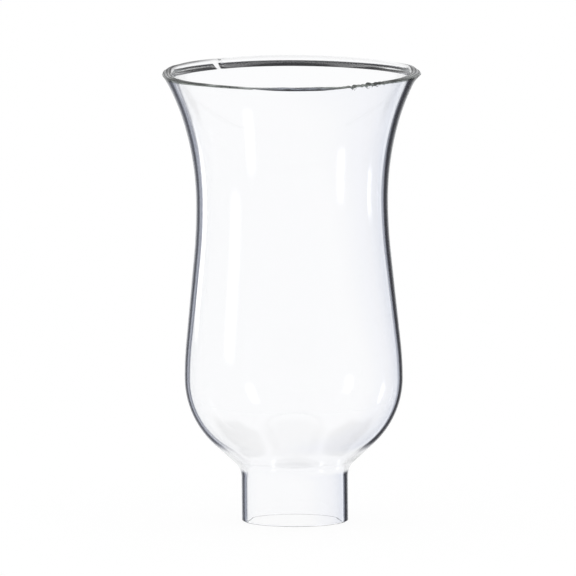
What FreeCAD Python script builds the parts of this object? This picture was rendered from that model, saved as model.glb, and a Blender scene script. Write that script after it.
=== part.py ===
import FreeCAD, Part
import math
import os

import Sketcher

# Hurricane shade: the clear blown-glass chimney of a candlestick or of an old kitchen or hearth lamp.
# It is one continuous wall of glass: a straight neck that stands in the holder, a tight rounded shoulder,
# a full bulb, a waist and a flared mouth with a fire-polished lip. The wall is thickest at the mouth,
# where the glass was worked last, and thinnest on the shoulder, where it was blown out most.
# Millimetres. +Z is up, and the origin is on the axis at the foot of the neck, where the shade stands.

SIZES = [
    ("height", 176.0, "foot of the neck to the top of the lip"),
    ("neck_radius", 20.65, "outside of the neck, for a 1 5/8 inch fitter"),
    ("neck_height", 17.2, "foot to where the straight neck starts to open"),
    ("neck_wall", 1.9, "glass at the neck"),
    ("foot_round", 0.7, "melted edges of the foot"),
    ("shoulder_lift", 0.9, "how much higher the shoulder turns on the inside than on the outside"),
    ("shoulder_low_share", 0.159, "where the shoulder runs straight, of the rise from neck to bulb"),
    ("shoulder_high_share", 0.337, "where that straight ends, of the same rise"),
    ("bulb_radius", 42.4, "outside of the bulb at its fullest"),
    ("bulb_height", 56.0, "foot to the fullest part of the bulb"),
    ("bulb_wall", 2.1, "glass at the bulb"),
    ("taper_low_share", 0.2, "where the side runs straight, of the rise from bulb to waist"),
    ("taper_high_share", 0.706, "where that straight ends, of the same rise"),
    ("waist_radius", 37.3, "outside of the waist at its narrowest"),
    ("waist_height", 124.4, "foot to the waist"),
    ("waist_wall", 2.7, "glass at the waist"),
    ("flare_out_share", 0.395, "where the flare tightens, of the step from waist to mouth"),
    ("flare_up_share", 0.643, "where the flare tightens, of the rise from waist to mouth"),
    ("flare_wall", 2.9, "glass where the flare tightens, measured level"),
    ("mouth_radius", 49.9, "outermost reach of the lip"),
    ("lip_wall", 3.1, "thickness of the round lip"),
]

FULL_TURN = 360.0
QUARTER_TURN = math.pi / 2
HALF_TURN = math.pi
SOLVING_ROUNDS = 12

# A sketch counts the points of a piece of outline from one: its first end, its second end, its centre.
# The sketch's own origin and level axis share one number.
FIRST_END, SECOND_END, CENTRE = range(1, 4)
ORIGIN = LEVEL_AXIS = -1


def fill_sheet(document):
    """Write the driving sizes into the sheet, one row each: name, value, meaning."""
    sheet = document.addObject("Spreadsheet::Sheet", "Sizes")
    for row, (name, value, meaning) in enumerate(SIZES, start=1):
        sheet.set(f"A{row}", name)
        sheet.set(f"B{row}", str(value))
        sheet.set(f"C{row}", meaning)
        sheet.setAlias(f"B{row}", name)
    document.recompute()
    return sheet


def origin_plane(body, role):
    """The body's own origin plane of the given role."""
    return next(plane for plane in body.Origin.OriginFeatures if plane.Role == role)


class WallFace:
    """One face of the glass wall, outside or inside, traced upwards from the foot in a sketch.

    Each piece is an arc or a straight that carries on smoothly from the one below it. The lean is the
    angle of the wall from upright, positive where it opens out as it rises.
    """

    def __init__(self, sketch, name):
        self.sketch = sketch
        self.name = name
        self.place = None
        self.lean = 0.0
        self.last = None
        self.foot = None

    def value(self, expression):
        """The number that an expression of the sheet's sizes gives now."""
        return float(self.sketch.evalExpression(expression))

    def bind(self, kind, references, role, expression):
        """Hold a distance of the outline at an expression of the sheet's sizes."""
        number = self.value(expression)
        index = self.sketch.addConstraint(Sketcher.Constraint(kind, *references, number))
        label = f"{self.name}_{role}"
        self.sketch.renameConstraint(index, label)
        self.sketch.setExpression(f"Constraints.{label}", expression)

    def join(self, piece, low_end, high_end, place, lean):
        """Carry the face on with a new piece, smooth where it meets the last one."""
        if self.last is not None:
            self.sketch.addConstraint(Sketcher.Constraint("Tangent", *self.last, piece, low_end))
        else:
            self.foot = (piece, low_end)
        self.last = (piece, high_end)
        self.place = place
        self.lean = lean

    def add_straight(self, rise):
        """A straight that keeps the present lean and climbs by the given rise."""
        radius, height = self.place
        place = (radius + rise * math.tan(self.lean), height + rise)
        low_point = FreeCAD.Vector(radius, height, 0)
        high_point = FreeCAD.Vector(*place, 0)
        piece = self.sketch.addGeometry(Part.LineSegment(low_point, high_point))
        self.join(piece, FIRST_END, SECOND_END, place, self.lean)

    def add_arc(self, new_lean, arc_radius):
        """An arc that turns the wall from the present lean to a new one."""
        radius, height = self.place
        outwards = new_lean > self.lean
        side = 1.0 if outwards else -1.0
        centre_radius = radius + side * arc_radius * math.cos(self.lean)
        centre_height = height - side * arc_radius * math.sin(self.lean)
        new_place = (
            centre_radius - side * arc_radius * math.cos(new_lean),
            centre_height + side * arc_radius * math.sin(new_lean),
        )
        circle = Part.Circle(
            FreeCAD.Vector(centre_radius, centre_height, 0), FreeCAD.Vector(0, 0, 1), arc_radius
        )
        if outwards:
            arc = Part.ArcOfCircle(circle, HALF_TURN - new_lean, HALF_TURN - self.lean)
            low_end, high_end = SECOND_END, FIRST_END
        else:
            arc = Part.ArcOfCircle(circle, -self.lean, -new_lean)
            low_end, high_end = FIRST_END, SECOND_END
        piece = self.sketch.addGeometry(arc)
        self.join(piece, low_end, high_end, new_place, new_lean)
        return piece

    def add_arc_rising(self, new_lean, rise):
        """An arc to a new lean, with the radius that climbs by the given rise."""
        turn = abs(math.sin(new_lean) - math.sin(self.lean))
        return self.add_arc(new_lean, rise / turn)

    def start(self, radius, foot_round, neck_height):
        """The straight neck, from the melted edge of the foot up to where it starts to open."""
        self.place = (self.value(radius), self.value(foot_round))
        self.add_straight(self.value(neck_height) - self.value(foot_round))
        self.sketch.addConstraint(Sketcher.Constraint("Vertical", self.last[0]))
        self.bind("DistanceX", (ORIGIN, FIRST_END, *self.last), "neck_radius", radius)
        self.bind("DistanceY", (ORIGIN, FIRST_END, *self.last), "neck_height", neck_height)

    def swing_to(self, station, radius, height, straight_low, straight_high):
        """An arc, a straight and an arc to a station where the wall is upright again.

        Both arcs turn by the same lean. The step in radius is the rise of the arcs times the tangent of
        half that lean, plus the rise of the straight times the tangent of the lean, and putting the
        half tangent back into this a few times finds it.
        """
        start_radius, start_height = self.place
        end_height = self.value(height)
        low_height = self.value(straight_low)
        high_height = self.value(straight_high)
        step = self.value(radius) - start_radius
        straight_rise = high_height - low_height
        arcs_rise = end_height - start_height - straight_rise

        half_tangent = 0.0
        for _ in range(SOLVING_ROUNDS):
            half_tangent = abs(step) / (arcs_rise + 2 * straight_rise / (1 - half_tangent**2))
        lean = math.copysign(2 * math.atan(half_tangent), step)

        self.add_arc_rising(lean, low_height - start_height)
        self.add_straight(straight_rise)
        straight = self.last[0]
        upper_arc = self.add_arc_rising(0.0, end_height - high_height)

        low_point = (ORIGIN, FIRST_END, straight, FIRST_END)
        high_point = (ORIGIN, FIRST_END, straight, SECOND_END)
        self.bind("DistanceY", low_point, f"{station}_straight_low", straight_low)
        self.bind("DistanceY", high_point, f"{station}_straight_high", straight_high)
        self.sketch.addConstraint(Sketcher.Constraint("Horizontal", upper_arc, CENTRE, *self.last))
        self.bind("DistanceX", (ORIGIN, FIRST_END, *self.last), f"{station}_radius", radius)
        self.bind("DistanceY", (ORIGIN, FIRST_END, *self.last), f"{station}_height", height)

    def open_to(self, station, radius, height):
        """An arc that opens from upright and passes through a point further out and up."""
        step = self.value(radius) - self.place[0]
        rise = self.value(height) - self.place[1]
        self.add_arc_rising(2 * math.atan2(step, rise), rise)
        self.bind("DistanceX", (ORIGIN, FIRST_END, *self.last), f"{station}_radius", radius)
        self.bind("DistanceY", (ORIGIN, FIRST_END, *self.last), f"{station}_height", height)

    def open_to_lip(self, lip_centre, lip_side):
        """The last arc of the flare, which runs smoothly into the circle of the lip.

        lip_side is the lip's radius, taken as negative on the inside face. The arc's centre lies square
        to the wall here and at the arc's radius plus lip_side from the lip's centre.
        """
        across = self.place[0] - lip_centre[0]
        up = self.place[1] - lip_centre[1]
        along_normal = across * math.cos(self.lean) - up * math.sin(self.lean)
        gap_squared = across**2 + up**2 - lip_side**2
        arc_radius = gap_squared / (2 * (lip_side - along_normal))
        centre_radius = self.place[0] + arc_radius * math.cos(self.lean)
        centre_height = self.place[1] - arc_radius * math.sin(self.lean)
        end_lean = math.atan2(lip_centre[1] - centre_height, centre_radius - lip_centre[0])
        self.add_arc(end_lean, arc_radius)


def trace_face(sketch, name):
    """Trace the outside or the inside face of the wall, from the foot to where the flare tightens.

    The inside lies in from the outside by the glass at each station, and its shoulder turns higher.
    """
    face = WallFace(sketch, name)
    inside = name == "inside"
    neck_glass, bulb_glass, waist_glass, flare_glass = (
        f" - Sizes.{station}_wall" if inside else "" for station in ("neck", "bulb", "waist", "flare")
    )
    lift = " + Sizes.shoulder_lift" if inside else ""
    shoulder_rise = "(Sizes.bulb_height - Sizes.neck_height)"
    taper_rise = "(Sizes.waist_height - Sizes.bulb_height)"
    flare_step = "(Sizes.mouth_radius - Sizes.waist_radius)"
    flare_rise = "(Sizes.height - Sizes.waist_height)"

    face.start("Sizes.neck_radius" + neck_glass, "Sizes.foot_round", "Sizes.neck_height")
    face.swing_to(
        "bulb",
        "Sizes.bulb_radius" + bulb_glass,
        "Sizes.bulb_height",
        f"Sizes.neck_height + Sizes.shoulder_low_share * {shoulder_rise}" + lift,
        f"Sizes.neck_height + Sizes.shoulder_high_share * {shoulder_rise}" + lift,
    )
    face.swing_to(
        "waist",
        "Sizes.waist_radius" + waist_glass,
        "Sizes.waist_height",
        f"Sizes.bulb_height + Sizes.taper_low_share * {taper_rise}",
        f"Sizes.bulb_height + Sizes.taper_high_share * {taper_rise}",
    )
    face.open_to(
        "flare",
        f"Sizes.waist_radius + Sizes.flare_out_share * {flare_step}" + flare_glass,
        f"Sizes.waist_height + Sizes.flare_up_share * {flare_rise}",
    )
    return face


def close_lip(sketch, outside, inside):
    """The round lip: one arc over the top of the wall, smooth with the flare on both faces."""
    lip_radius = outside.value("Sizes.lip_wall / 2")
    lip_centre = (
        outside.value("Sizes.mouth_radius - Sizes.lip_wall / 2"),
        outside.value("Sizes.height - Sizes.lip_wall / 2"),
    )
    outside.open_to_lip(lip_centre, lip_radius)
    inside.open_to_lip(lip_centre, -lip_radius)
    circle = Part.Circle(FreeCAD.Vector(*lip_centre, 0), FreeCAD.Vector(0, 0, 1), lip_radius)
    lip = sketch.addGeometry(Part.ArcOfCircle(circle, -outside.lean, HALF_TURN - inside.lean))
    sketch.addConstraint(Sketcher.Constraint("Tangent", *outside.last, lip, FIRST_END))
    sketch.addConstraint(Sketcher.Constraint("Tangent", *inside.last, lip, SECOND_END))
    outside.bind("Radius", (lip,), "lip_radius", "Sizes.lip_wall / 2")
    lip_middle = (ORIGIN, FIRST_END, lip, CENTRE)
    outside.bind("DistanceX", lip_middle, "lip_reach", "Sizes.mouth_radius - Sizes.lip_wall / 2")
    outside.bind("DistanceY", lip_middle, "lip_height", "Sizes.height - Sizes.lip_wall / 2")


def close_foot(sketch, outside, inside):
    """The foot: a narrow level land that the shade stands on, with a melted edge on each side."""
    foot_round = outside.value("Sizes.foot_round")
    outer_middle = FreeCAD.Vector(outside.value("Sizes.neck_radius - Sizes.foot_round"), foot_round, 0)
    inner_middle = FreeCAD.Vector(
        outside.value("Sizes.neck_radius - Sizes.neck_wall + Sizes.foot_round"), foot_round, 0
    )
    axis = FreeCAD.Vector(0, 0, 1)
    outer_circle = Part.Circle(outer_middle, axis, foot_round)
    inner_circle = Part.Circle(inner_middle, axis, foot_round)
    outer_edge = sketch.addGeometry(Part.ArcOfCircle(outer_circle, -QUARTER_TURN, 0.0))
    inner_edge = sketch.addGeometry(Part.ArcOfCircle(inner_circle, -HALF_TURN, -QUARTER_TURN))
    land_start = FreeCAD.Vector(inner_middle.x, 0, 0)
    land_end = FreeCAD.Vector(outer_middle.x, 0, 0)
    land = sketch.addGeometry(Part.LineSegment(land_start, land_end))
    sketch.addConstraint(Sketcher.Constraint("Tangent", *inside.foot, inner_edge, FIRST_END))
    sketch.addConstraint(Sketcher.Constraint("Tangent", inner_edge, SECOND_END, land, FIRST_END))
    sketch.addConstraint(Sketcher.Constraint("Tangent", land, SECOND_END, outer_edge, FIRST_END))
    sketch.addConstraint(Sketcher.Constraint("Tangent", outer_edge, SECOND_END, *outside.foot))
    sketch.addConstraint(Sketcher.Constraint("Horizontal", land))
    sketch.addConstraint(Sketcher.Constraint("PointOnObject", land, FIRST_END, LEVEL_AXIS))
    outside.bind("Radius", (outer_edge,), "foot_round", "Sizes.foot_round")
    inside.bind("Radius", (inner_edge,), "foot_round", "Sizes.foot_round")


def make_shade(document):
    """The shade: the section of its wall in one sketch, turned once round the axis."""
    body = document.addObject("PartDesign::Body", "GlassShade")
    body.Label = "glass_shade"
    section = body.newObject("Sketcher::SketchObject", "WallSection")
    section.AttachmentSupport = [(origin_plane(body, "XZ_Plane"), "")]
    section.MapMode = "FlatFace"

    outside = trace_face(section, "outside")
    inside = trace_face(section, "inside")
    close_lip(section, outside, inside)
    close_foot(section, outside, inside)
    document.recompute()

    turned = body.newObject("PartDesign::Revolution", "BlownWall")
    turned.Profile = section
    turned.ReferenceAxis = (section, ["V_Axis"])
    turned.Angle = FULL_TURN
    section.Visibility = False
    body.Placement = FreeCAD.Placement()
    return body


def check(document, parts):
    """Stop if any object failed, or if a part's shape isn't one whole solid."""
    for item in document.Objects:
        if "Invalid" in item.State or "Error" in item.State:
            raise RuntimeError(f"{item.Label} failed: {item.State}")
    for part in parts:
        shape = part.Shape
        if shape.isNull() or not shape.isValid() or len(shape.Solids) != 1:
            raise RuntimeError(f"{part.Label} isn't one valid solid")
        if shape.Volume <= 0:
            raise RuntimeError(f"{part.Label} is inside out")


document = FreeCAD.newDocument("HurricaneShade")
fill_sheet(document)
parts = [make_shade(document)]
document.recompute()
check(document, parts)

os.makedirs("parts", exist_ok=True)
for part in parts:
    part.Shape.exportStep(f"parts/{part.Label}.step")
    box = part.Shape.optimalBoundingBox()
    print(part.Label, f"{box.XLength:.2f} x {box.YLength:.2f} x {box.ZLength:.2f} mm")
    print("volume", f"{part.Shape.Volume:.0f} cubic mm")
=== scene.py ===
import bpy
import numpy as np
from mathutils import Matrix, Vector


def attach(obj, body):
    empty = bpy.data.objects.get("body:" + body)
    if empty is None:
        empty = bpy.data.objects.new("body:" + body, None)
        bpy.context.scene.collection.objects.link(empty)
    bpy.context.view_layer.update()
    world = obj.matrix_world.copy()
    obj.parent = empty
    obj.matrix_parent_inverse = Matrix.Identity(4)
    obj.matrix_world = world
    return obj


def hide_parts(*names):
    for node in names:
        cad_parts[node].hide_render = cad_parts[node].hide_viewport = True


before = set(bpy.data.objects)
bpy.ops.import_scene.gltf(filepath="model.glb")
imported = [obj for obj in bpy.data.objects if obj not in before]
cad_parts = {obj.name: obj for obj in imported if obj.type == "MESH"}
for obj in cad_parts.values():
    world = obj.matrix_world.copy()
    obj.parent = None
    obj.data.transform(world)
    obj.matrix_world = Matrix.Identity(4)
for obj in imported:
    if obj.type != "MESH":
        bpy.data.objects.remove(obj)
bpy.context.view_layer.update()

# The shade
# One gather of clear glass, blown and drawn into a round shell that is open at both ends. Its wall
# thickens towards the mouth, where a flame melted the cut edge into a swollen, slightly wavy lip.
# The neck stands in the cup of a holder, held by the shade's own weight.
MM = 0.001
NECK_RADIUS = 20.65 * MM
NECK_WALL = 1.9 * MM
FOOT_ROUND = 0.7 * MM

# Each run of the outside, from the foot up: its length if it is straight, or else its bend radius,
# then the lean from upright at its end, in degrees, the wall's thickness there, and its steps.
STRAIGHT, BEND = "straight", "bend"
OUTSIDE_RUNS = (
    (STRAIGHT, 16.5 * MM, 0.0, 1.9 * MM, 8),         # the neck
    (BEND, 8.328 * MM, 47.800, 1.8 * MM, 12),        # the root of the neck
    (STRAIGHT, 10.282 * MM, 47.800, 1.72 * MM, 6),   # the shoulder
    (BEND, 34.725 * MM, 0.0, 2.1 * MM, 26),          # the low half of the bulb
    (BEND, 138.721 * MM, -5.660, 2.2 * MM, 8),       # the high half of the bulb
    (STRAIGHT, 34.780 * MM, -5.660, 2.57 * MM, 12),  # the taper
    (BEND, 203.919 * MM, 0.0, 2.7 * MM, 8),          # up to the waist
    (BEND, 113.081 * MM, 17.062, 2.78 * MM, 18),     # the low part of the flare
    (BEND, 66.329 * MM, 28.000, 3.0 * MM, 10),       # the flare
    (BEND, 66.329 * MM, 32.361, 3.1 * MM, 28),       # the lip
)
LIP_STEPS = 24
FOOT_STEPS = 8
EVENING_REACH = 6.0 * MM
EVENING_SAMPLES = 13
SWELL_REACH = 2.9 * MM
SWELL_POWER = 1.1
CUT_REACH = 10.0 * MM
CUT_OUTSIDE_SHARE = 0.2
RIDGE_TURNS = 8
WAVE_REACH = 14.0 * MM


def outside_line(runs, radius, height, wall):
    """The outside from the foot up, as radius, height, lean, way along and wall. Its straights and
    arcs each start the way the last one ended. A point on an arc is the arc's start, plus the bend
    radius times the change in the lean's cosine and sine."""
    columns = []
    lean, along = 0.0, 0.0
    for kind, size, end_lean, end_wall, steps in runs:
        end_lean = np.radians(end_lean)
        length = size if kind == STRAIGHT else size * abs(end_lean - lean)
        share = np.arange(steps + 1) / steps
        leans = lean + (end_lean - lean) * share
        if kind == STRAIGHT:
            out, up = size * share * np.sin(lean), size * share * np.cos(lean)
        else:
            turn = size * np.sign(end_lean - lean)
            out = turn * (np.cos(lean) - np.cos(leans))
            up = turn * (np.sin(leans) - np.sin(lean))
        run = np.stack([radius + out, height + up, leans, along + length * share,
                        wall + (end_wall - wall) * share])
        columns.append(run[:, :-1])
        radius, height, lean, along, wall = run[:, -1]
    columns.append(run[:, -1:])
    return np.concatenate(columns, axis=1)


def wall_section():
    """The closed outline of the wall, as radius and height: the outside line, a half circle over
    the lip, the same line moved square to itself by the wall, and the melted foot. With it come how
    far each point moves when the lip swells, slants, grows in its round or is ridged by one, its
    share of the outside skin, its share in the lip's waves, which die out down the wall, and the
    lip's thickness."""
    radius, height, lean, along, wall = outside_line(OUTSIDE_RUNS, NECK_RADIUS, FOOT_ROUND,
                                                     NECK_WALL)
    from_end = along[-1] - along
    shifts = np.linspace(-1.0, 1.0, EVENING_SAMPLES) * EVENING_REACH
    evened = np.mean([np.interp(along + shift, along, wall) for shift in shifts], axis=0)
    wall = wall + (evened - wall) * np.clip(from_end / EVENING_REACH, 0, 1)
    square = np.stack([np.cos(lean), -np.sin(lean)])
    onward = np.stack([np.sin(lean[-1:]), np.cos(lean[-1:])])
    outside = np.stack([radius, height])
    inside = outside - wall * square

    turn_over = np.pi * np.arange(1, LIP_STEPS) / LIP_STEPS
    across, over = square[:, -1:] * np.cos(turn_over), onward * np.sin(turn_over)
    middle = (outside[:, -1:] + inside[:, -1:]) / 2
    lip = middle + wall[-1] / 2 * (across + over)

    turn = np.pi / 2 * np.arange(1, FOOT_STEPS + 1) / FOOT_STEPS
    drop = FOOT_ROUND * (1 - np.sin(turn))
    edge = FOOT_ROUND * (1 - np.cos(turn))
    foot_in = np.stack([inside[0, 0] + edge, drop])
    foot_out = np.stack([outside[0, 0] - edge, drop])[:, ::-1]
    ring = np.concatenate([outside, lip, inside[:, ::-1], foot_in, foot_out], axis=1)

    up_outside = slice(0, len(radius))
    over_lip = slice(up_outside.stop, up_outside.stop + LIP_STEPS - 1)
    down_inside = slice(over_lip.stop, over_lip.stop + len(radius))
    swelling, slanting, rounding, ridging = moves = np.zeros((4, *ring.shape))
    swell = np.clip(1 - (from_end / SWELL_REACH) ** SWELL_POWER, 0, 1)
    swelling[:, up_outside] = swell * square
    swelling[:, over_lip] = (square[:, -1:] + across + over) / 2
    cut = np.clip(1 - from_end / CUT_REACH, 0, 1) ** 2
    cut_inside_share = 1 - CUT_OUTSIDE_SHARE
    slanting[:, up_outside] = cut * onward * CUT_OUTSIDE_SHARE
    slanting[:, over_lip] = onward * ((1 + np.cos(turn_over)) / 2 - cut_inside_share)
    slanting[:, down_inside] = (cut * -onward * cut_inside_share)[:, ::-1]
    rounding[:, over_lip] = over / 2
    ridging[:, over_lip] = (across + over) * np.sin(RIDGE_TURNS * turn_over)

    skin = np.concatenate([np.ones(len(radius)), np.linspace(1, 0, LIP_STEPS + 1)[1:-1],
                           np.zeros(len(radius)), np.linspace(0, 1, 2 * FOOT_STEPS)])
    wave = np.clip(1 - from_end / WAVE_REACH, 0, 1)
    wave = wave * wave * (3 - 2 * wave)
    waves = np.concatenate([wave, np.ones(LIP_STEPS - 1), wave[::-1], np.zeros(2 * FOOT_STEPS)])
    return ring, moves, skin, waves, wall[-1]


def placed(name, data):
    """A new object of the scene, from a mesh, a lamp or a camera."""
    piece = bpy.data.objects.new(name, data)
    bpy.context.collection.objects.link(piece)
    return piece


def ring_surface(name, points):
    """A mesh from a grid of points that closes on itself both ways, four corners to a face. The map
    holds the share of the way round and the share of the way along the wall's outline."""
    rows, columns = points.shape[:2]
    row, column = np.meshgrid(np.arange(rows), np.arange(columns), indexing="ij")
    next_row, next_column = (row + 1) % rows, (column + 1) % columns
    faces = np.stack([row * columns + column, next_row * columns + column,
                      next_row * columns + next_column, row * columns + next_column], axis=-1)
    mesh = bpy.data.meshes.new(name)
    mesh.from_pydata(points.reshape(-1, 3), [], faces.reshape(-1, 4))
    mesh.shade_smooth()
    around = np.stack([row, row + 1, row + 1, row], axis=-1) / rows
    along = np.stack([column, column, column + 1, column + 1], axis=-1) / columns
    mesh.uv_layers.new(name="wall").data.foreach_set(
        "uv", np.stack([around, along], axis=-1).reshape(-1))
    return placed(name, mesh)


# What the hand and the flame left uneven, in millimetres by the angle round the axis in degrees,
# with 0 to the right as the shade stands before the camera, 90 at the back and 270 at the front:
# how far the lip swells, its cut slants from square to level, it is ridged, and it rises or sinks.
FULL_TURN = 360
SWELLINGS = ((-90, 0.0), (-10, 0.0), (-3, 0.7), (6, 0.95), (20, 1.05), (60, 1.05), (123.0, 1.05),
             (125.6, 0.62), (127.2, 0.62), (128.5, 1.05), (160, 0.95), (171, 0.85), (180, 0.0),
             (270, 0.0))
SLANTS = ((-90, 0.45), (-76, 0.45), (-66, 1.6), (-50, 1.7), (-14, 1.5), (2, 1.5), (17, 0.0),
          (160, 0.0), (177, 1.5), (190, 1.6), (240, 1.7), (250, 1.9), (258, 1.2), (266, 0.45),
          (270, 0.45))
RIDGES = ((-90, 0.0), (-30, 0.0), (-15, 0.05), (15, 0.05), (30, 0.0), (150, 0.0), (165, 0.05),
          (195, 0.05), (210, 0.0), (270, 0.0))
RISES = ((-90, 0.33), (-75, 0.33), (-55, 1.05), (-40, 1.2), (-8, 0.8), (8, 0.6), (25, 0.0),
         (38, -0.1), (60, -0.05), (90, 0.28), (108, 0.4), (135, 0.36), (152, 0.32), (170, 0.7),
         (190, 0.8), (225, 1.3), (250, 1.2), (260, 0.67), (270, 0.33))

# By the same angle: the height of the lip's round, as a share of a half circle's, the painted shade
# on its surface, which comes in over an eighth of the round at either side, and how strongly the
# dark lines painted along it show. Both are painted shade, in place of the dark that the bent light
# shows in the lip.
ROUNDS = ((-90, 0.4), (-70, 0.35), (-60, 0.22), (-20, 0.2), (-6, 0.35), (8, 0.55), (25, 0.75),
          (95, 0.75), (120, 0.72), (145, 0.85), (155, 0.8), (168, 0.75), (178, 0.4), (182, 0.3),
          (195, 0.2), (250, 0.2), (262, 0.35), (270, 0.4))
PAINTED_LIP_SHADES = ((-90, 1.0), (-70, 0.8), (-62, 0.5), (-52, 0.6), (-47, 0.2), (-41, 0.6), (-36, 0.2),
              (-30, 0.3), (-18, 0.8), (0, 1.0), (120, 1.0), (132, 0.6), (140, 0.3), (160, 0.35),
              (172, 1.0), (190, 1.0), (198, 0.4), (203, 0.3), (226, 0.3), (232, 0.8), (236, 0.3),
              (244, 0.4), (250, 0.95), (258, 0.9), (264, 1.0), (270, 1.0))
PAINTED_LIP_LINES = ((-90, 0.0), (-30, 0.0), (-20, 0.55), (20, 0.55), (32, 0.0), (148, 0.0), (160, 0.55),
              (196, 0.55), (204, 0.0), (270, 0.0))
PAINTED_LIP_LINES_OVER = 4.5
TONE_STEEPNESS = 8

# The crinkle that the shears left runs over part of the front, as waves of three pitches, with its
# size in millimetres and the shares of it that swell and lift the lip. There and at the notch in
# the swelling the rows of points stand closer: each row holds a span's ends and step, in degrees.
CRINKLE_FROM, CRINKLE_TO = -72, -34
CRINKLE_PITCHES = (2.7, 3.9, 6.3)
CRINKLE_SIZE = 0.15
CRINKLE_SWELL = 0.25
CRINKLE_RISE = 1.2
CRINKLE_POWER = 60
ANGLES = ((-72, -34, 0.5), (-34, 122, 1.625), (122, 131, 0.5), (131, 288, 1.57))
LEAN = 0.0092
LEAN_FROM = 25.0 * MM


def by_angle(table, degrees):
    """The value that a table of angles and values gives at each angle, straight between rows."""
    angles, values = np.array(table).T
    return np.interp(degrees, angles, values, period=FULL_TURN)


def blown(ring, moves, waves, wall):
    """The wall's outline turned round the axis, then moved the way the hand-made shade departs from
    that. Each point moves by the tables' sizes, rises with the lip plus a crinkle of three sine
    waves that is let in and out over its stretch, and leans to one side in step with its height,
    with the foot kept flat."""
    degrees = np.concatenate([np.arange(start, end - step / 2, step)
                              for start, end, step in ANGLES])[:, None]
    share = np.clip((degrees - CRINKLE_FROM) / (CRINKLE_TO - CRINKLE_FROM), 0, 1)
    crinkle = sum(np.sin(2 * np.pi * degrees / pitch + number)
                  for number, pitch in enumerate(CRINKLE_PITCHES))
    crinkle = crinkle * np.sin(np.pi * share) ** 2 * CRINKLE_SIZE
    swollen = (by_angle(SWELLINGS, degrees) + CRINKLE_SWELL * crinkle) * MM
    slanted = by_angle(SLANTS, degrees) * MM
    high = (by_angle(ROUNDS, degrees) - 1) * (wall + swollen)
    ridged = by_angle(RIDGES, degrees) * MM
    radius, height = ring
    for amount, (out, up) in zip((swollen, slanted, high, ridged), moves):
        radius = radius + amount * out
        height = height + amount * up
    height = height + (by_angle(RISES, degrees) * MM * waves
                       + CRINKLE_RISE * crinkle * MM * waves ** CRINKLE_POWER)
    angle = np.radians(degrees)
    x, y = radius * np.cos(angle), radius * np.sin(angle)
    tilt = LEAN * np.clip(height / LEAN_FROM, 0, 1)
    return degrees, np.stack([x - LEAN * height, y, height + tilt * x], axis=-1)


ring, moves, skin, waves, lip_wall = wall_section()
degrees, points = blown(ring, moves, waves, lip_wall)
# The tone that the lip's round carries is painted shade: the painted lip shade with its painted
# dark lines, mixed towards black in the glass.
on_round = np.clip(TONE_STEEPNESS * np.minimum(skin, 1 - skin), 0, 1) * waves
painted_lines = (1 + np.cos(2 * np.pi * PAINTED_LIP_LINES_OVER * skin)) / 2
painted_lip_shade = by_angle(PAINTED_LIP_SHADES, degrees) * (1 - by_angle(PAINTED_LIP_LINES, degrees) * painted_lines)
tone = 1 + (painted_lip_shade - 1) * on_round
shade = ring_surface("shade", points)
for name, values in (("skin", np.tile(skin, len(points))), ("tone", tone.reshape(-1))):
    shade.data.attributes.new(name, "FLOAT", "POINT").data.foreach_set("value", values)


def new_material(name):
    """An empty material, with its nodes and links, which the helpers below add to."""
    material = bpy.data.materials.new(name)
    material.use_nodes = True
    material.node_tree.nodes.clear()
    return material, material.node_tree.nodes, material.node_tree.links


def give_surface(piece, material, shader):
    """Ends a material with its finished shader, and puts it on a piece."""
    output = nodes.new("ShaderNodeOutputMaterial")
    links.new(shader.outputs[0], output.inputs["Surface"])
    piece.data.materials.append(material)


def maths(operation, *values, clamp=False):
    """One sum of a material, of sockets or numbers."""
    node = nodes.new("ShaderNodeMath")
    node.operation = operation
    node.use_clamp = clamp
    for socket, value in zip(node.inputs, values):
        if isinstance(value, (int, float)):
            socket.default_value = value
        else:
            links.new(value, socket)
    return node.outputs[0]


def times(first, *others):
    """The product of sockets and numbers."""
    for other in others:
        first = maths("MULTIPLY", first, other)
    return first


def rest_of(share):
    """What a share leaves of one."""
    return maths("SUBTRACT", 1.0, share)


def between(value, low, high):
    """How far a value has gone from low to high, from 0 to 1, with soft ends."""
    node = nodes.new("ShaderNodeMapRange")
    node.interpolation_type = "SMOOTHSTEP"
    links.new(value, node.inputs["Value"])
    node.inputs["From Min"].default_value = low
    node.inputs["From Max"].default_value = high
    return node.outputs["Result"]


def mixed(share, a, b):
    """A colour part of the way from a to b, each of them a socket or three numbers."""
    node = nodes.new("ShaderNodeMix")
    node.data_type = "RGBA"
    links.new(share, node.inputs["Factor"])
    colours = [socket for socket in node.inputs if socket.type == "RGBA"]
    for socket, value in zip(colours, (a, b)):
        if isinstance(value, tuple):
            socket.default_value = (*value, 1.0)
        else:
            links.new(value, socket)
    return [socket for socket in node.outputs if socket.type == "RGBA"][0]


def mixed_shader(share, a, b):
    """A shader part of the way from a to b."""
    node = nodes.new("ShaderNodeMixShader")
    links.new(share, node.inputs["Fac"])
    links.new(a.outputs[0], node.inputs[1])
    links.new(b.outputs[0], node.inputs[2])
    return node


def stepped(value, top, stops):
    """A colour read from a table of places and colours, straight between its rows, for a value that
    runs from 0 to top."""
    node = nodes.new("ShaderNodeValToRGB")
    links.new(maths("DIVIDE", value, top, clamp=True), node.inputs["Fac"])
    rows = node.color_ramp.elements
    while len(rows) > 1:
        rows.remove(rows[-1])
    for number, (place, colour) in enumerate(stops):
        row = rows[0] if number == 0 else rows.new(place / top)
        row.position = place / top
        row.color = (*colour, 1.0)
    return node.outputs["Color"]


def attribute(name):
    """A number that the mesh holds for each of its points."""
    node = nodes.new("ShaderNodeAttribute")
    node.attribute_name = name
    return node.outputs["Fac"]


def axes(vector):
    """The three parts of a vector socket."""
    node = nodes.new("ShaderNodeSeparateXYZ")
    links.new(vector, node.inputs[0])
    return node.outputs


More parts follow.
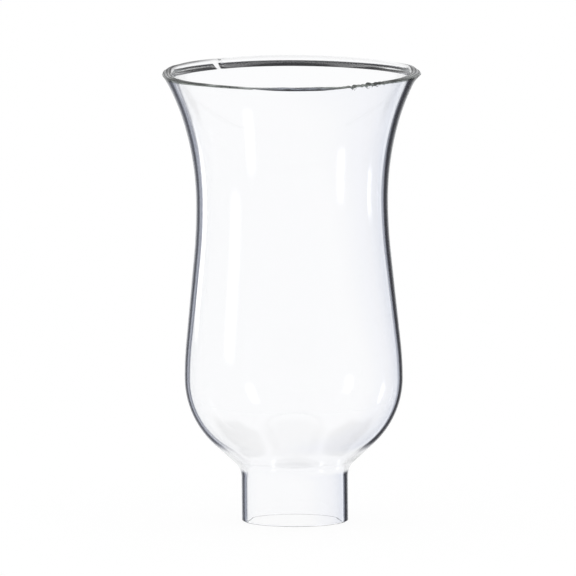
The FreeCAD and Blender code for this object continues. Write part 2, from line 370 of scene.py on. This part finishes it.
BLACK, WHITE = (0.0, 0.0, 0.0), (1.0, 1.0, 1.0)
CLEAR = (0.9875, 0.989, 0.993)
BENDS_LIGHT = 1.5
OUTER_SKIN = (0.98, 1.0)
INNER_SKIN = (0.6, 0.4)

# Painted shade: the tone of the wall by its depth in from the outline, in millimetres, stands in
# for the light that is bent aside near the edge and lost, more of it on the right, away from the
# brighter side of the room.
EDGE_TOP = 24.0
LEFT_EDGE = (
    (0.0, (1.0, 1.0, 1.0)), (0.1, (0.85, 0.85, 0.86)), (0.3, (0.70, 0.70, 0.71)),
    (0.5, (0.44, 0.45, 0.46)), (0.85, (0.18, 0.18, 0.20)), (1.2, (0.20, 0.21, 0.23)),
    (1.45, (0.45, 0.46, 0.49)), (1.6, (0.75, 0.76, 0.80)), (2.0, (0.70, 0.71, 0.76)),
    (2.4, (0.46, 0.47, 0.50)), (2.6, (0.60, 0.61, 0.64)), (2.85, (0.91, 0.92, 0.94)),
    (3.3, (0.96, 0.965, 0.975)), (4.7, (0.985, 0.988, 0.992)), (8.0, (1.0, 1.0, 1.0)))
RIGHT_EDGE = (
    (0.0, (0.95, 0.95, 0.95)), (0.15, (0.72, 0.72, 0.72)), (0.3, (0.50, 0.50, 0.50)),
    (0.5, (0.26, 0.26, 0.26)), (0.7, (0.16, 0.16, 0.165)), (1.05, (0.085, 0.085, 0.095)),
    (1.45, (0.10, 0.10, 0.11)), (1.65, (0.30, 0.30, 0.32)), (1.85, (0.60, 0.61, 0.64)),
    (2.2, (0.86, 0.88, 0.92)), (2.6, (0.90, 0.92, 0.97)), (3.1, (0.82, 0.84, 0.90)),
    (4.7, (0.86, 0.873, 0.915)), (6.2, (0.90, 0.91, 0.945)), (7.8, (0.925, 0.93, 0.955)),
    (10.1, (0.945, 0.95, 0.975)), (13.2, (0.96, 0.965, 0.98)), (17.0, (0.985, 0.985, 0.99)),
    (22.0, (1.0, 1.0, 1.0)))

# The depth stretches where the wall is thin, less so on the neck, and shrinks where it is thick. On
# the shoulder the edge stays pale. Each pair is the stretch of the shade, across or up, over which
# its change comes in.
LEFT_TO_RIGHT = (-10 * MM, 10 * MM)
THIN_WALL = (105 * MM, 40 * MM)
THIN_WALL_STRETCH = 0.45
NECK_PART = (24 * MM, 18 * MM)
NECK_SHARE = 0.5
THICK_WALL = (128 * MM, 150 * MM)
THICK_WALL_STRETCH = -0.12
SHOULDER_FOOT = (19 * MM, 21 * MM)
SHOULDER_HEAD = (33 * MM, 28 * MM)
SHOULDER_PALENESS = 0.85

glass, nodes, links = new_material("clear glass")
facing_node = nodes.new("ShaderNodeLayerWeight")
facing_node.inputs["Blend"].default_value = 0.5
facing = facing_node.outputs["Facing"]
object_place = nodes.new("ShaderNodeTexCoord").outputs["Object"]
x, y, z = axes(object_place)
straight_on = rest_of(facing)
aside = maths("SQRT", rest_of(times(straight_on, straight_on)))
radius = maths("SQRT", maths("ADD", times(x, x), times(y, y)))
depth = times(maths("DIVIDE", radius, MM), rest_of(aside))
thin_wall = times(between(z, *THIN_WALL), rest_of(times(between(z, *NECK_PART), NECK_SHARE)))
thick_wall = maths("MULTIPLY_ADD", between(z, *THICK_WALL), THICK_WALL_STRETCH, 1.0)
depth = times(depth, maths("MULTIPLY_ADD", thin_wall, THIN_WALL_STRETCH, thick_wall))
# The painted edge shade, read by depth from the left or the right table.
painted_edge_shade = mixed(between(x, *LEFT_TO_RIGHT), stepped(depth, EDGE_TOP, LEFT_EDGE),
                  stepped(depth, EDGE_TOP, RIGHT_EDGE))
shoulder = times(between(z, *SHOULDER_FOOT), between(z, *SHOULDER_HEAD))
skin_share = attribute("skin")
edge = times(between(skin_share, *OUTER_SKIN), rest_of(times(shoulder, SHOULDER_PALENESS)))
# The glass's first side carries the painted edge shade, and where the tone is low it is painted
# towards black, the painted shade on the lip.
first_side = mixed(attribute("tone"), BLACK, mixed(edge, CLEAR, painted_edge_shade))

# Painted shade: light that the inner skin throws back whole, where it is met square enough, is
# toned down by a tint.
HELD_IN_WALL = (0.42, 0.44, 0.50)
HELD_MIRRORING = 0.97
HELD_FACING = 0.36

mirroring = nodes.new("ShaderNodeFresnel")
mirroring.inputs["IOR"].default_value = BENDS_LIGHT
held = times(maths("GREATER_THAN", mirroring.outputs[0], HELD_MIRRORING),
             between(skin_share, *INNER_SKIN), maths("LESS_THAN", facing, HELD_FACING),
             rest_of(shoulder))
from_inside = nodes.new("ShaderNodeNewGeometry").outputs["Backfacing"]
tint = mixed(from_inside, first_side, mixed(held, CLEAR, HELD_IN_WALL))
body = nodes.new("ShaderNodeBsdfGlass")
body.inputs["IOR"].default_value = BENDS_LIGHT
body.inputs["Roughness"].default_value = 0.0
links.new(tint, body.inputs["Color"])

# Light that has turned many times inside the wall gets out again through a tint of dark and paler
# streaks. The paler ones are almost black at the back, blue-grey in front and a little green at
# both sides, and right in front no dark ones are left. The green is the glass's own; the darkness
# and the streaks are painted shade, set by the place on the shade. Both limits lie half way between
# two whole counts.
LONG_WAY_TURNS = 7.5
NO_SKIN_YET = 0.5
LONG_WAY_DARK = (0.02, 0.022, 0.022)
LONG_WAY_SIDE = (0.38, 0.43, 0.37)
LONG_WAY_REAR = (0.04, 0.043, 0.045)
LONG_WAY_FRONT = (0.27, 0.285, 0.33)
REAR_PART = (12 * MM, 30 * MM)
FRONT_PART = (-20 * MM, -40 * MM)
FOREMOST_PART = (-40 * MM, -47 * MM)
STREAKS_PER_METRE = 140.0
STREAK_DETAIL = 2.0
STREAK_TONES = (0.38, 0.60)

streaks = nodes.new("ShaderNodeTexNoise")
streaks.inputs["Scale"].default_value = STREAKS_PER_METRE
streaks.inputs["Detail"].default_value = STREAK_DETAIL
links.new(object_place, streaks.inputs["Vector"])
pale = mixed(between(y, *REAR_PART), LONG_WAY_SIDE, LONG_WAY_REAR)
pale = mixed(between(y, *FRONT_PART), pale, LONG_WAY_FRONT)
dark = mixed(between(y, *FOREMOST_PART), LONG_WAY_DARK, LONG_WAY_FRONT)
long_way_tone = mixed(between(streaks.outputs["Fac"], *STREAK_TONES), dark, pale)
path = nodes.new("ShaderNodeLightPath").outputs
way_out = nodes.new("ShaderNodeBsdfTransparent")
first_skin = maths("LESS_THAN", path["Transparent Depth"], NO_SKIN_YET)
links.new(mixed(first_skin, WHITE, long_way_tone), way_out.inputs["Color"])
long_way = maths("GREATER_THAN", path["Ray Depth"], LONG_WAY_TURNS)
give_surface(shade, glass, mixed_shader(long_way, body, way_out))
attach(shade, "root")
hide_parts("glass_shade")

# The floor
# A sheet of white paper under the shade, wide enough to run out of the camera's sight. It shows as
# plain white, and keeps a faint share of the shade's soft shadow.
FLOOR_HALF = 3.0
PAPER_SHADOW = 0.06

floor_mesh = bpy.data.meshes.new("floor")
floor_corners = [(-FLOOR_HALF, -FLOOR_HALF, 0), (FLOOR_HALF, -FLOOR_HALF, 0),
                 (FLOOR_HALF, FLOOR_HALF, 0), (-FLOOR_HALF, FLOOR_HALF, 0)]
floor_mesh.from_pydata(floor_corners, [], [(0, 1, 2, 3)])
floor = placed("floor", floor_mesh)
paper, nodes, links = new_material("white paper")
glow = nodes.new("ShaderNodeEmission")
glow.inputs["Strength"].default_value = 1.0 - PAPER_SHADOW
matt = nodes.new("ShaderNodeBsdfDiffuse")
matt.inputs["Color"].default_value = (PAPER_SHADOW, PAPER_SHADOW, PAPER_SHADOW, 1.0)
both = nodes.new("ShaderNodeAddShader")
links.new(glow.outputs[0], both.inputs[0])
links.new(matt.outputs[0], both.inputs[1])
give_surface(floor, paper, both)

# The tent
# A low ring of white paper that stands on the floor round the shade. The glass mirrors and bends it
# into view, and the room begins above its soft top edge. The camera looks past it.
TENT_RADIUS = 0.32
TENT_HEIGHT = 0.205
TENT_FULL_HEIGHT = 0.150
TENT_SIDES = 96

turn = 2 * np.pi * np.arange(TENT_SIDES) / TENT_SIDES
foot = np.stack([np.cos(turn) * TENT_RADIUS, np.sin(turn) * TENT_RADIUS, np.zeros(TENT_SIDES)],
                axis=-1)
side = np.arange(TENT_SIDES)
next_side = (side + 1) % TENT_SIDES
tent_mesh = bpy.data.meshes.new("tent")
tent_mesh.from_pydata(np.concatenate([foot, foot + (0, 0, TENT_HEIGHT)]), [],
                      np.stack([next_side, side, side + TENT_SIDES, next_side + TENT_SIDES],
                               axis=-1))
tent = placed("tent", tent_mesh)
tent.visible_camera = tent.visible_diffuse = tent.visible_shadow = False
tent_paper, nodes, links = new_material("lit white paper")
tent_place = axes(nodes.new("ShaderNodeTexCoord").outputs["Object"])
full = between(tent_place["Z"], TENT_HEIGHT, TENT_FULL_HEIGHT)
give_surface(tent, tent_paper, mixed_shader(full, nodes.new("ShaderNodeBsdfTransparent"),
                                            nodes.new("ShaderNodeEmission")))

# The studio light
# A white room all round. For light that comes through the glass, its rear is unlit from the tent's
# edge up, as far as straight overhead but not out to the sides, and the thick lip bends that into
# view as dark lines.

# Each pair is the part of a direction, up, sideways or to the rear, over which the dark comes in.
UNLIT = (0.01, 0.01, 0.012)
DARK_ABOVE = (0.05, 0.12)
DARK_NEAR_MIDDLE = (0.75, 0.65)
DARK_TO_REAR = (0.10, 0.24)
DARK_OVERHEAD = (0.90, 0.97)

world = bpy.data.worlds.new("studio")
world.use_nodes = True
nodes, links = world.node_tree.nodes, world.node_tree.links
way = axes(nodes.new("ShaderNodeTexCoord").outputs["Generated"])
through_glass = nodes.new("ShaderNodeLightPath").outputs["Is Transmission Ray"]
rear = maths("MAXIMUM", between(way["Y"], *DARK_TO_REAR), between(way["Z"], *DARK_OVERHEAD))
near_middle = between(maths("ABSOLUTE", way["X"]), *DARK_NEAR_MIDDLE)
unlit = times(between(way["Z"], *DARK_ABOVE), near_middle, rear, through_glass)
links.new(mixed(unlit, WHITE, UNLIT), nodes["Background"].inputs["Color"])
bpy.context.scene.world = world

# The strip lights
# Three upright lamps stand round the shade, each behind a sheet that softens its ends and sides,
# and show in the glass as soft streaks.

# Each row holds how far a lamp is from the axis, at which angle, its width, its lowest and highest
# point, and its strength. The soft ends are shares of its width and of its height.
STRIPS = (
    ("left strip", 0.30, -160, 0.090, 0.055, 0.200, 1.5),
    ("right strip", 0.30, -34, 0.095, 0.115, 0.335, 1.5),
    ("rear strip", 0.30, 140, 0.055, 0.058, 0.132, 2.0),
)
SOFT_ENDS = (("X", 0.45), ("Y", 0.25))
MIDDLE = 0.5
MIDDLE_STRENGTH = 1.8

for name, away, angle, width, low, high, strength in STRIPS:
    lamp_data = bpy.data.lights.new(name, "AREA")
    lamp_data.shape = "RECTANGLE"
    lamp_data.size, lamp_data.size_y = width, high - low
    lamp_data.energy = strength * np.pi * width * (high - low)
    lamp_data.use_nodes = True
    nodes, links = lamp_data.node_tree.nodes, lamp_data.node_tree.links
    lamp_place = axes(nodes.new("ShaderNodeNewGeometry").outputs["Parametric"])
    soft = [between(maths("PINGPONG", lamp_place[axis], MIDDLE), 0.0, end)
            for axis, end in SOFT_ENDS]
    links.new(times(*soft, MIDDLE_STRENGTH), nodes["Emission"].inputs["Strength"])
    lamp = placed(name, lamp_data)
    out = Vector((np.cos(np.radians(angle)), np.sin(np.radians(angle)), 0.0))
    lamp.location = out * away + Vector((0.0, 0.0, (low + high) / 2))
    lamp.rotation_euler = (-out).to_track_quat("-Z", "Y").to_euler()
    lamp.visible_camera = False

# The camera
# It looks down by a little over seven degrees from a metre off, with nothing foreshortened, and
# lets light turn often enough in the glass.
LOOKS_AT = Vector((-2.75 * MM, 0.0, 91.0 * MM))
LOOKS_DOWN = np.radians(7.25)
PICTURE_PIXELS = 576
PIXEL_SIZE = 0.3885 * MM
FARTHEST_SEEN = 20
TURNS_OF_LIGHT = 24

camera_data = bpy.data.cameras.new("camera")
camera_data.type = "ORTHO"
camera_data.ortho_scale = PICTURE_PIXELS * PIXEL_SIZE
camera_data.clip_end = FARTHEST_SEEN
camera = placed("camera", camera_data)
away = Vector((0.0, -np.cos(LOOKS_DOWN), np.sin(LOOKS_DOWN)))
camera.location = LOOKS_AT + away
camera.rotation_euler = (-away).to_track_quat("-Z", "Y").to_euler()
bpy.context.scene.camera = camera
bpy.context.scene.view_settings.view_transform = "Standard"
cycles = bpy.context.scene.cycles
cycles.max_bounces = cycles.transmission_bounces = cycles.glossy_bounces = TURNS_OF_LIGHT
cycles.transparent_max_bounces = TURNS_OF_LIGHT
